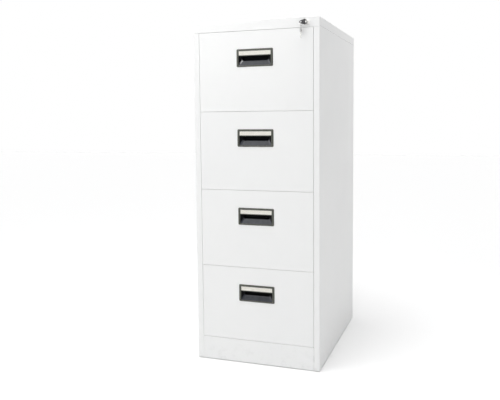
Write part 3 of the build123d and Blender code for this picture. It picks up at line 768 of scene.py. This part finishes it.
def addStuds(name, places, radius, flatness, finish, body):
    mesh = bpy.data.meshes.new(name)
    mesh.from_pydata(places, [], [])
    piece = bpy.data.objects.new(name, mesh)
    bpy.context.scene.collection.objects.link(piece)
    studs = piece.modifiers.new("studs", "NODES")
    studs.node_group = studTree
    for label, value in (("Radius", radius), ("Flatness", flatness), ("Finish", finish)):
        studs[studTree.interface.items_tree[label].identifier] = value
    bakeModifiers(piece)
    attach(piece, body)


def spaced(first, last, count):
    return [first + (last - first) * place / (count - 1) for place in range(count)]


beadSettings = {
    "steps": 9,
    "runOut": 1.2,  # length of each tapered end, in half widths
    "endTurns": (4, 25, 45, 65, 90),
    "roundness": 1.5,
    "bedded": 0.00005,
}


def addBead(shape, settings, start, end, halfWidth, rise, across, out):
    # a pressed bead: a low rounded ridge that runs out at both ends
    steps, roundness = settings["steps"], settings["roundness"]
    turns = [math.radians(turn) for turn in settings["endTurns"]]
    start, end, across, out = (Vector(value) for value in (start, end, across, out))
    along = (end - start).normalized()
    runOut = halfWidth * settings["runOut"]
    stations = [(start + along * runOut * (1 - math.cos(turn)), math.sin(turn)) for turn in turns]
    turns.reverse()
    stations += [(end - along * runOut * (1 - math.cos(turn)), math.sin(turn)) for turn in turns]
    rings = []
    for middle, size in stations:
        ring = []
        for step in range(steps):
            angle = math.pi * step / (steps - 1)
            height = rise * size * math.sin(angle) ** roundness - settings["bedded"]
            ring.append(middle + across * halfWidth * size * math.cos(angle) + out * height)
        rings.append(ring)
    addRings(shape, rings, closed=False)


# balls and cages between the members of the slides
ballSettings = {
    "radius": 0.00145,
    "pitch": 0.0105,
    "ballInset": 0.004,  # from a cage's end to its first ball
    "cageThick": 0.0005,
    "cageHalf": 0.0032,
    "outerRow": (0.2207, 0.0198),  # out from the cabinet's middle, up from the slide's
    "innerRow": (0.2195, 0.0156),
    "endGap": 0.016,
    "overlap": 0.006,
}


def slideRows(settings, number):
    low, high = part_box(f"middle_slides_{number}")
    middleY, centreZ = (low.y + high.y) / 2, (low.z + high.z) / 2
    endGap, overlap = settings["endGap"], settings["overlap"]
    rows = []
    for side in (-1, 1):
        for upper in (-1, 1):
            for (x, z), startY, endY in (
                (settings["outerRow"], middleY + overlap, high.y - endGap),
                (settings["innerRow"], low.y + endGap, middleY - overlap),
            ):
                rows.append((side * x, startY, endY, centreZ + upper * z))
    return rows


def cageMesh(settings, number):
    shape = bmesh.new()
    thick, half = settings["cageThick"] / 2, settings["cageHalf"]
    for x, startY, endY, z in slideRows(settings, number):
        section = (
            (x - half, z - thick), (x + half, z - thick), (x + half, z + thick), (x - half, z + thick)
        )
        addBar(shape, section, startY, endY)
    return finishMesh(shape, f"ballCages_{number}")


for number in drawerNumbers:
    places = []
    inset = ballSettings["ballInset"]
    for x, startY, endY, z in slideRows(ballSettings, number):
        count = int((endY - startY - 2 * inset) / ballSettings["pitch"]) + 1
        places += [(x, y, z) for y in spaced(startY + inset, endY - inset, count)]
    body = f"middle_slides_{number}"
    addStuds(f"slideBalls_{number}", places, ballSettings["radius"], (1.0, 1.0, 1.0), finishes["nickel"],
             body)
    addPiece(f"ballCages_{number}", cageMesh(ballSettings, number), body, "zinc", finishes["zinc"])
print("balls and cages in the slides")


# rivets, weld marks and pressed beads of the drawers
traySettings = {
    "sheet": 0.0008,
    "railToSide": 0.0178,  # from the hanging rails out to the tray's sides
    "sideHigh": 0.235,
    "rivetRadius": 0.0031,
    "rivetCount": 5,
    "rivetInset": 0.03,
    "weldRadius": 0.0026,
    "weldRise": 0.008,  # above the floor of the tray
    "weldInset": (0.04, 0.03),  # from the front and from the back
    "sideWeldCount": 9,
    "endWeldCount": 6,
    "endWeldHalf": 0.18,
    "beadHalfWidth": 0.0055,
    "beadRise": 0.0011,
    "beadInset": 0.03,
    "wallBeads": (0.045, 0.165),  # heights of the two beads in each side
    "floorBeadHalf": 0.15,
    "floorBeadInset": (0.12, 0.12),
    "floorBeadCount": 4,
}


def trayInside(settings, number):
    # inner half width and the floor's height, from the rails that hang the files
    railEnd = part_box(f"hanger_rails_{number}")[1]
    wall = railEnd.x + settings["railToSide"] - settings["sheet"]
    return wall, railEnd.z - settings["sideHigh"] + settings["sheet"]


def trayBeads(settings, number):
    low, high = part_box(f"drawer_tray_{number}")
    shape = bmesh.new()
    start, end = low.y + settings["beadInset"], high.y - settings["beadInset"]
    wall, floor = trayInside(settings, number)
    halfWidth, rise = settings["beadHalfWidth"], settings["beadRise"]
    for side in (-1, 1):
        for height in settings["wallBeads"]:
            x, z = side * wall, floor + height
            addBead(
                shape, beadSettings, (x, start, z), (x, end, z), halfWidth, rise, (0, 0, 1), (-side, 0, 0)
            )
    reach = settings["floorBeadHalf"]
    nearFront, nearBack = settings["floorBeadInset"]
    for y in spaced(low.y + nearFront, high.y - nearBack, settings["floorBeadCount"]):
        addBead(
            shape, beadSettings, (-reach, y, floor), (reach, y, floor), halfWidth, rise, (0, 1, 0), (0, 0, 1)
        )
    return finishMesh(shape, f"trayBeads_{number}")


for number in drawerNumbers:
    low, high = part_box(f"drawer_tray_{number}")
    wall, floor = trayInside(traySettings, number)
    slideLow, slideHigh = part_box(f"inner_slides_{number}")
    slideZ = (slideLow.z + slideHigh.z) / 2
    inset = traySettings["rivetInset"]
    stations = spaced(slideLow.y + inset, slideHigh.y - inset, traySettings["rivetCount"])
    rivets = [(side * wall, y, slideZ) for side in (-1, 1) for y in stations]
    body = f"drawer_{number}"
    addStuds(f"slideRivets_{number}", rivets, traySettings["rivetRadius"], (0.45, 1.0, 1.0),
             finishes["nickel"], body)
    nearFront, nearBack = traySettings["weldInset"]
    weldZ = floor + traySettings["weldRise"]
    stations = spaced(low.y + nearFront, high.y - nearBack, traySettings["sideWeldCount"])
    welds = [(side * wall, y, weldZ) for side in (-1, 1) for y in stations]
    addStuds(f"sideWelds_{number}", welds, traySettings["weldRadius"], (0.08, 1.0, 1.0),
             finishes["white_paint"], body)
    reach = traySettings["endWeldHalf"]
    across = spaced(-reach, reach, traySettings["endWeldCount"])
    welds = [(x, high.y - traySettings["sheet"], weldZ) for x in across]
    addStuds(f"endWelds_{number}", welds, traySettings["weldRadius"], (1.0, 0.08, 1.0),
             finishes["white_paint"], body)
    beads = trayBeads(traySettings, number)
    addPiece(f"trayBeads_{number}", beads, body, "white_paint", finishes["white_paint"])
print("trays detailed")


# weld marks down the back flanges and the cap's cross-head screws
backSettings = {
    "weldRadius": 0.0028,
    "weldCount": 16,
    "weldInset": (0.05, 0.03),  # from the floor and from the top
    "flangeMiddle": 0.0075,
    "screwCount": 4,
    "screwSides": 32,
    "screwRadius": 0.004,
    "screwRise": 0.002,
    "flat": 0.0026,
    "shoulder": 0.25,  # share of the head that rises straight
    "domeSteps": 5,
    "crossHalf": 0.0021,
    "crossArm": 0.0005,
    "crossDepth": 0.0012,
    "crossTaper": 0.8,
}


def screwMesh(settings):
    low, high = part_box("cap_screws")
    head = settings["screwRadius"]
    seat = high.y - settings["screwRise"]
    shape = bmesh.new()
    middleZ = (low.z + high.z) / 2
    count, flat, shoulder = settings["screwSides"], settings["flat"], settings["shoulder"]
    for x in spaced(low.x + head, high.x - head, settings["screwCount"]):
        rings = []

        def circle(radius, y):
            rings.append([(x + radius * math.cos(math.tau * step / count), y,
                           middleZ + radius * math.sin(math.tau * step / count)) for step in range(count)])

        def cross(size, y):
            ring = []
            for step in range(count):
                angle = math.tau * step / count + 0.0001  # just off the arms' own directions
                turned = (angle + math.pi / 4) % (math.pi / 2) - math.pi / 4
                arm = settings["crossArm"] * size
                reach = settings["crossHalf"] * size
                wide = arm / max(abs(math.sin(turned)), 1e-6)
                length = min(reach / math.cos(turned), wide if abs(turned) > 0.02 else reach)
                ring.append((x + length * math.cos(angle), y, middleZ + length * math.sin(angle)))
            rings.append(ring)

        circle(head, seat)
        for angle in quarterTurn(settings["domeSteps"])[1:]:
            circle(flat + (head - flat) * math.cos(angle),
                   seat + settings["screwRise"] * (shoulder + (1 - shoulder) * math.sin(angle)))
        cross(1, high.y)
        cross(settings["crossTaper"], high.y - settings["crossDepth"])
        addRings(shape, rings, firstCap=True, lastCap=True)
    return finishMesh(shape, "capScrews", sharpAngle=25)


screws = addPiece("capScrews", screwMesh(backSettings), "cabinet", "zinc", finishes["zinc"])
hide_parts("cap_screws")
low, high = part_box("left_side_panel")
flangeX = -low.x - backSettings["flangeMiddle"]
nearFloor, nearTop = backSettings["weldInset"]
heights = spaced(nearFloor, high.z - nearTop, backSettings["weldCount"])
marks = [(side * flangeX, high.y, z) for side in (-1, 1) for z in heights]
addStuds("backWelds", marks, backSettings["weldRadius"], (1.0, 0.05, 1.0), finishes["white_paint"],
         "cabinet")
print("back detailed")


# lock and keys
softened("lock_housing", "lockBezel", "cabinet", width=0.0003, segments=2)
softened("lock_plug", "lockPlugFace", "lock_plug", width=0.0002, segments=2)
softened("key_blade", "keyBladeWorn", "lock_plug", width=0.0002, segments=2)
softened("spare_key_blade", "spareBladeWorn", "spare_key", width=0.0002, segments=2)
softened("key_head", "keyHeadMoulding", "key_head", width=0.0006, segments=3)
softened("spare_key_head", "spareHeadMoulding", "spare_key", width=0.0006, segments=3)
print("lock and keys softened")


# painted shade: a dark strip in the joint between the cap's skirt and each side, standing in for the shadow
# in the gap
capJointSettings = {
    "skirtHigh": 0.032,
    "gap": 0.0005,
    "deep": 0.001,
    "setback": 0.0002,  # behind the side's face
    "endInset": 0.003,
}


def capJointMesh(settings):
    sideLow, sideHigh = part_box("right_side_panel")
    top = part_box("top_cap")[1].z - settings["skirtHigh"]
    startY, endY = sideLow.y + settings["endInset"], sideHigh.y - settings["endInset"]
    shape = bmesh.new()
    for side in (-1, 1):
        outer = side * (sideHigh.x - settings["setback"])
        inner = side * (sideHigh.x - settings["deep"])
        bottom = top - settings["gap"]
        section = ((outer, bottom), (outer, top), (inner, top), (inner, bottom))
        addBar(shape, section, startY, endY)
    return finishMesh(shape, "capJointPaintedShade")


addPiece("capJointPaintedShade", capJointMesh(capJointSettings), "cabinet", "white_paint", finishes["joint_shade"])
print("cap joints done")


# floor and light
studioSettings = {
    "floor": (0.93, 0.93, 0.93),
    "fill": 0.21,  # sky, all round
    "windowSide": (-0.97, -0.20, 0.0),  # what shiny parts mirror: a bright side and a dark one
    "windowEdge": (0.72, 0.96),
    "windowGain": 3.5,
    "flagSide": (0.62, -0.78, 0.0),
    "flagEdge": (0.70, 0.93),
    "flagGain": 0.15,
    "floorReach": 14,
    "overheadStrength": 2.6,
    "overheadFrom": (-0.03, -0.09, 0.99),
    "overheadSpread": 48,  # degrees, for a soft shadow
    "lamps": {
        "keyLight": {
            "power": 8.2, "size": 1.5, "place": (-0.75, -1.45, 1.95), "aim": (-0.2, front, 1.3),
        },
        "sideLight": {
            "power": 0.42, "size": 0.5, "place": (0.80, 0.50, 1.62), "aim": (0.25, 0.25, 1.32),
        },
        "sparkleLight": {
            "power": 6, "size": 0.36, "place": (0.35, -2.40, 2.69), "aim": (0, front, 1.1),
        },
    },
    "unseenLamps": ("sideLight",),  # neither seen nor mirrored
}


def aimed(light, direction):
    light.rotation_euler = Vector(direction).to_track_quat("-Z", "Y").to_euler()


def addLight(name, kind, **values):
    lamp = bpy.data.lights.new(name, kind)
    for key, value in values.items():
        setattr(lamp, key, value)
    light = bpy.data.objects.new(name, lamp)
    bpy.context.scene.collection.objects.link(light)
    return light


def towards(tree, place, direction, edge, gain):
    # 1 away from the direction and the gain around it; the edge is two cosines
    facing = addNode(tree, "ShaderNodeVectorMath", operation="DOT_PRODUCT")
    join(tree, place, facing.inputs[0])
    facing.inputs[1].default_value = Vector(direction).normalized()
    return rangeOf(tree, facing.outputs["Value"], *edge, 1.0, gain)


def buildStudio(settings):
    scene = bpy.context.scene
    scene.view_settings.view_transform = "Standard"
    scene.view_settings.look = "None"
    world = bpy.data.worlds.new("whiteStudio")
    world.use_nodes = True
    scene.world = world
    tree = world.node_tree
    sky = tree.nodes["Background"]
    sky.inputs["Color"].default_value = (1, 1, 1, 1)
    path = addNode(tree, "ShaderNodeLightPath")
    bright = addNode(tree, "ShaderNodeMath", operation="MAXIMUM")
    join(tree, path.outputs["Is Camera Ray"], bright.inputs[0])
    join(tree, path.outputs["Is Glossy Ray"], bright.inputs[1])
    place = addNode(tree, "ShaderNodeTexCoord").outputs["Generated"]
    window = towards(tree, place, settings["windowSide"], settings["windowEdge"], settings["windowGain"])
    flag = towards(tree, place, settings["flagSide"], settings["flagEdge"], settings["flagGain"])
    mirrored = addNode(tree, "ShaderNodeMix", data_type="FLOAT")
    join(tree, path.outputs["Is Camera Ray"], mirrored.inputs["Factor"])
    join(tree, timesOf(tree, window, flag), mirrored.inputs["A"])
    mirrored.inputs["B"].default_value = 1.0
    strength = rangeOf(tree, bright.outputs[0], 0, 1, settings["fill"], mirrored.outputs[0])
    join(tree, strength, sky.inputs["Strength"])

    floorMesh = bpy.data.meshes.new("studioFloor")
    reach = settings["floorReach"]
    corners = [(-reach, -reach, 0), (reach, -reach, 0), (reach, reach, 0), (-reach, reach, 0)]
    floorMesh.from_pydata(corners, [], [(0, 1, 2, 3)])
    floor = bpy.data.objects.new("studioFloor", floorMesh)
    scene.collection.objects.link(floor)
    material, tree, shader = startFinish("paperFloor", {"Roughness": 0.9})
    shader.inputs["Base Color"].default_value = (*settings["floor"], 1)
    floorMesh.materials.append(material)

    spread = math.radians(settings["overheadSpread"])
    overhead = addLight("overheadLight", "SUN", energy=settings["overheadStrength"], angle=spread)
    aimed(overhead, -Vector(settings["overheadFrom"]))
    for name, lamp in settings["lamps"].items():
        light = addLight(name, "AREA", shape="DISK", size=lamp["size"], energy=lamp["power"])
        light.location = lamp["place"]
        aimed(light, Vector(lamp["aim"]) - light.location)
        if name in settings["unseenLamps"]:
            light.visible_camera = False
            light.visible_glossy = False


buildStudio(studioSettings)
print("studio lit")
